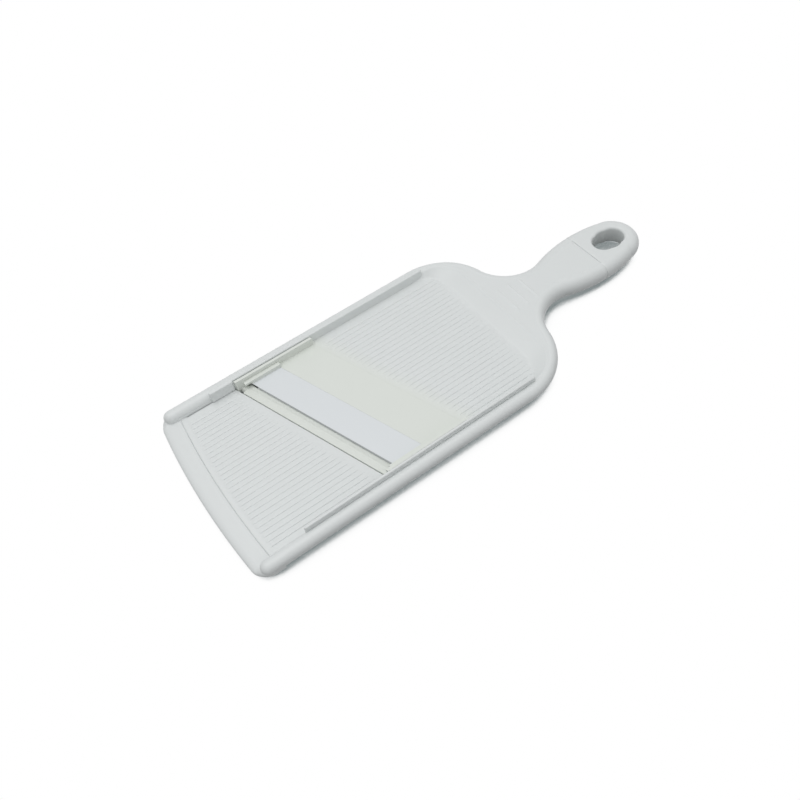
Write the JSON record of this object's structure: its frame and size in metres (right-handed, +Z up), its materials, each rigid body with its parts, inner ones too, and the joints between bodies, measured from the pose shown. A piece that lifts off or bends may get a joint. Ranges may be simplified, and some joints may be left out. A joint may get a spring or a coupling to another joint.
{
  "type": "mandoline slicer",
  "caption": "White paddle-shaped hand slicer with side rails, a slanted fixed ceramic blade, a turning bar that sets the slice thickness, and a grip with a hanging hole.",
  "frame": {"origin": "middle of the footprint, on the plane of the feet", "axes": "+X along the board to the handle's tip, +Y to the thumb wheel's side, +Z up out of the deck"},
  "size_m": [0.33, 0.13, 0.018],
  "materials": {
    "white_plastic": "moulded white plastic with a fine satin sheen",
    "cream_plastic": "moulded off-white plastic, faintly creamier than the board, satin",
    "blade_ceramic": null,
    "wheel_plastic": "pale grey moulded plastic with fluted edge",
    "screw_steel": "bare stainless steel screws",
    "spring_steel": "rolled spring steel leaf",
    "foot_rubber": "pale soft elastomer pads"
  },
  "bodies": {
    "board": {"body": "white_plastic", "front_plate": "white_plastic", "plate_screws": "screw_steel", "blade_cassette": "cream_plastic", "cassette_screws": "screw_steel", "ceramic_blade": "blade_ceramic", "left_blade_clamp": "cream_plastic", "right_blade_clamp": "cream_plastic", "detent_spring": "spring_steel", "detent_screw": "screw_steel", "handle_cover": "white_plastic", "handle_cover_screws": "screw_steel", "handle_end": "white_plastic", "handle_end_screw": "screw_steel", "front_left_foot": "foot_rubber", "front_right_foot": "foot_rubber", "rear_left_foot": "foot_rubber", "rear_right_foot": "foot_rubber"},
    "adjuster": {"thickness_bar": "cream_plastic", "adjuster_knob": "wheel_plastic", "knob_screw": "screw_steel"}
  },
  "joints": [
    {"name": "thickness_turn", "type": "hinge", "parent": "board", "child": "adjuster", "pos_m": [-0.0875, 0, 0.0065], "axis": [-0.3338, 0.9426, 0], "continuous": true}
  ]
}
